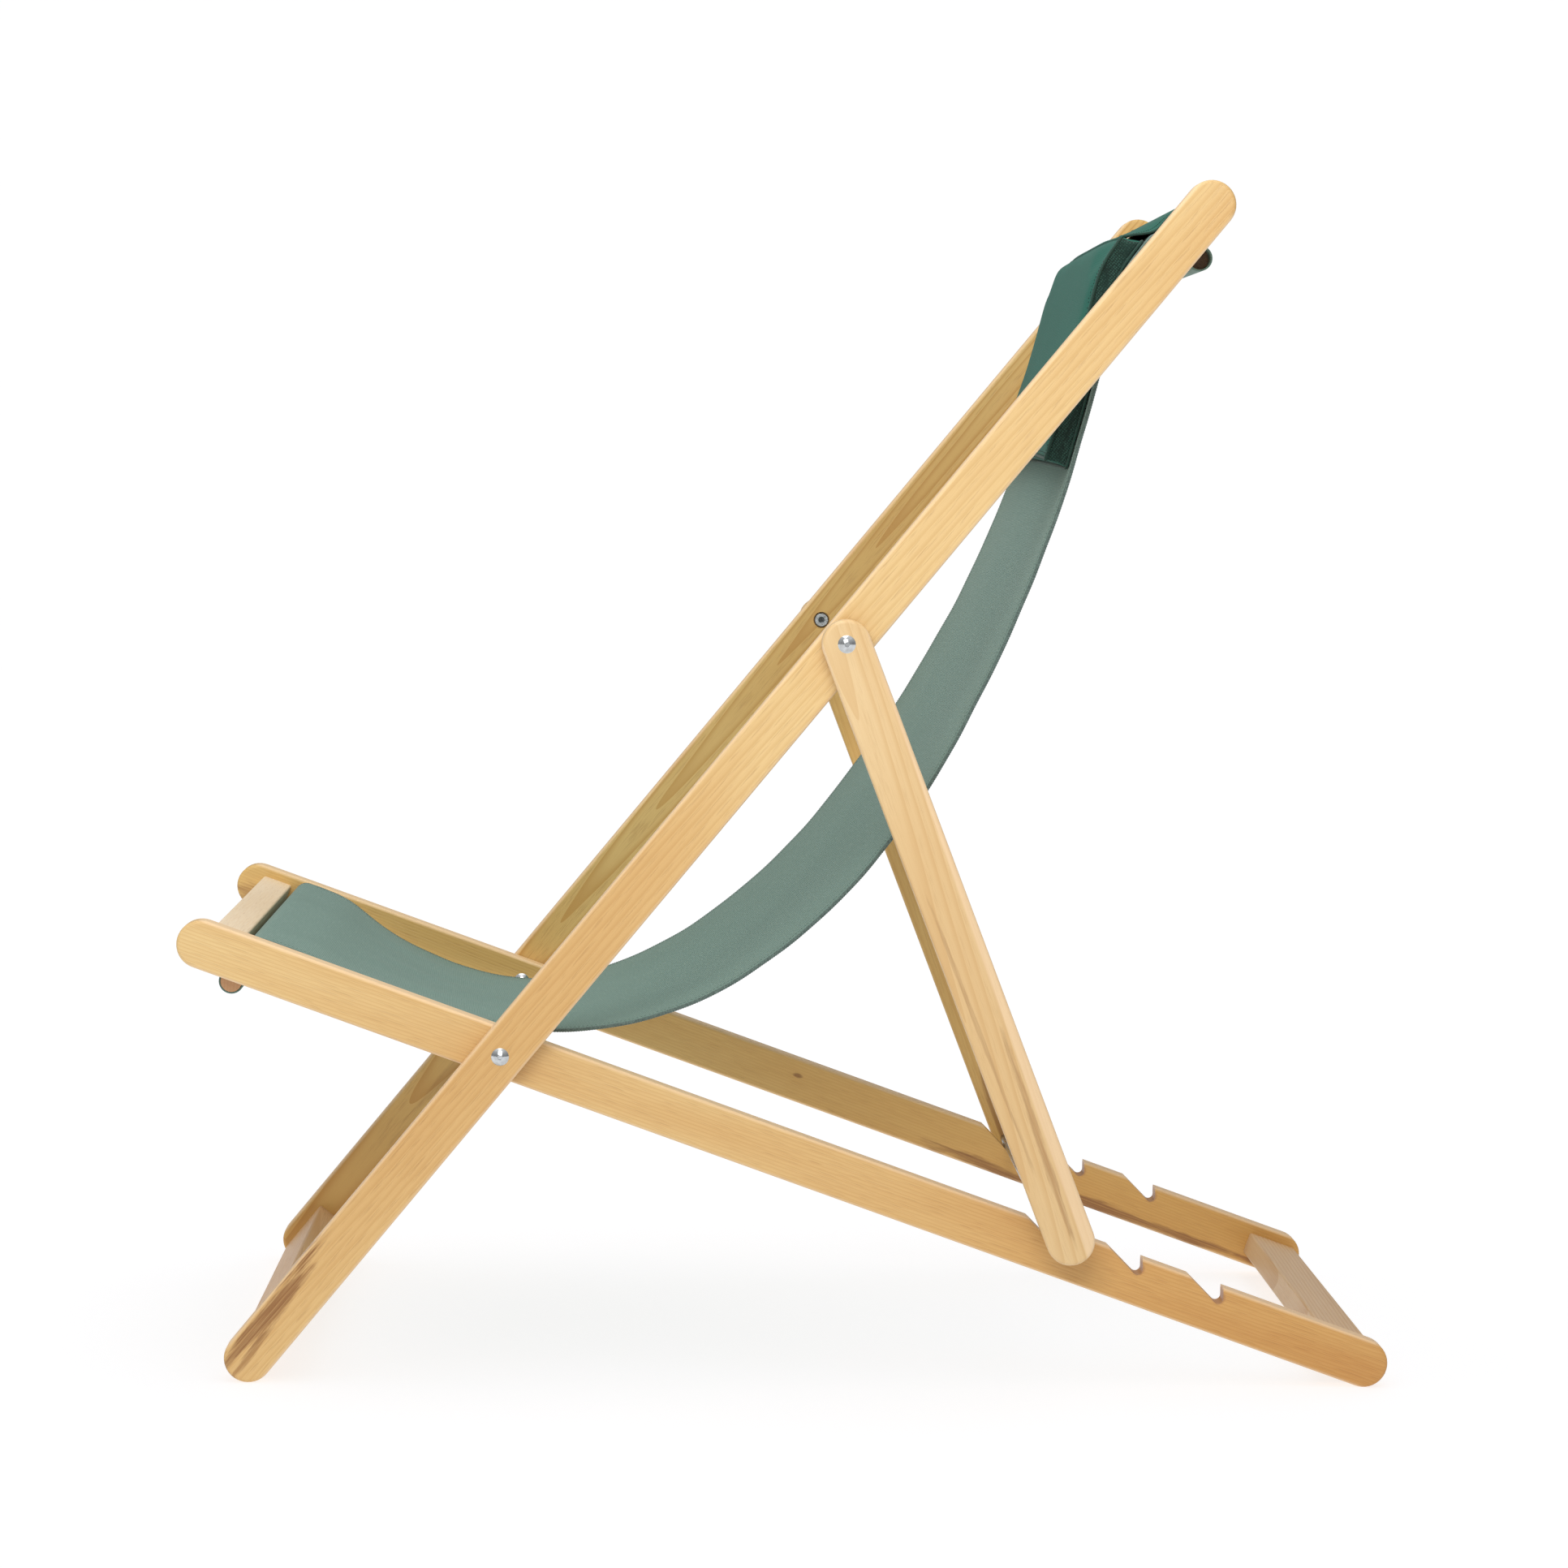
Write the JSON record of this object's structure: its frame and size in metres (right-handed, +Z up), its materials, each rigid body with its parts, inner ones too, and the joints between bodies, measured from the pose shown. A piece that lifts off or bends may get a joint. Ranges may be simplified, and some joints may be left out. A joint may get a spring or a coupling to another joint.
{
  "type": "folding deck chair",
  "caption": "Folding wooden deck chair with a fabric sling seat, a hanging headrest cushion and a prop frame that rests in notches.",
  "frame": {"origin": "on the floor under the centre of the chair's bounding box, as set up on its most upright notch", "axes": "+X is the chair's width, -Y its front, where the seat's front slat is, and +Z is up"},
  "size_m": [0.566, 1.0092, 0.9954],
  "materials": {
    "rail_wood": "clear satin lacquer over honey-coloured ash",
    "bar_wood": "clear satin lacquer over pale ash",
    "peg_wood": "plain turned wood",
    "hardware": "bright zinc plate",
    "rod_steel": "drawn steel rod",
    "washer_plastic": "thin nylon",
    "sling_fabric": "ribbed outdoor weave, grey-green",
    "cushion_fabric": "plain outdoor weave, dark green"
  },
  "bodies": {
    "seat_frame": {"seat_rail_left": "rail_wood", "seat_rail_right": "rail_wood", "front_slat": "bar_wood", "front_sling_bar": "bar_wood", "rear_crossbar": "bar_wood", "seat_pegs": "peg_wood", "front_dowel": "peg_wood", "sling": "sling_fabric"},
    "back_frame": {"back_rail_left": "rail_wood", "back_rail_right": "rail_wood", "head_slat": "bar_wood", "head_sling_bar": "bar_wood", "foot_crossbar": "bar_wood", "back_pegs": "peg_wood", "head_dowel": "peg_wood", "main_pivot_bolts": "hardware", "main_pivot_nuts": "hardware", "main_pivot_washers": "washer_plastic", "prop_pivot_bolts": "hardware", "prop_pivot_nuts": "hardware", "prop_pivot_washers": "washer_plastic", "headrest_cushion": "cushion_fabric", "headrest_flap": "cushion_fabric"},
    "prop_frame": {"prop_strut_left": "rail_wood", "prop_strut_right": "rail_wood", "prop_rod": "rod_steel"}
  },
  "joints": [
    {"name": "back_fold", "type": "hinge", "parent": "seat_frame", "child": "back_frame", "pos_m": [0, -0.23736, 0.27286], "axis": [-1, 0, 0], "range_deg": [0, 70.3], "deforming": ["sling", "headrest_cushion"]},
    {"name": "prop_swing", "type": "hinge", "parent": "back_frame", "child": "prop_frame", "pos_m": [0, 0.03969, 0.61596], "axis": [-1, 0, 0], "range_deg": [0, 56.5]}
  ],
  "couplings": [
    {"joint": "prop_swing", "follows": "back_fold", "ratio": 0.8029}
  ]
}
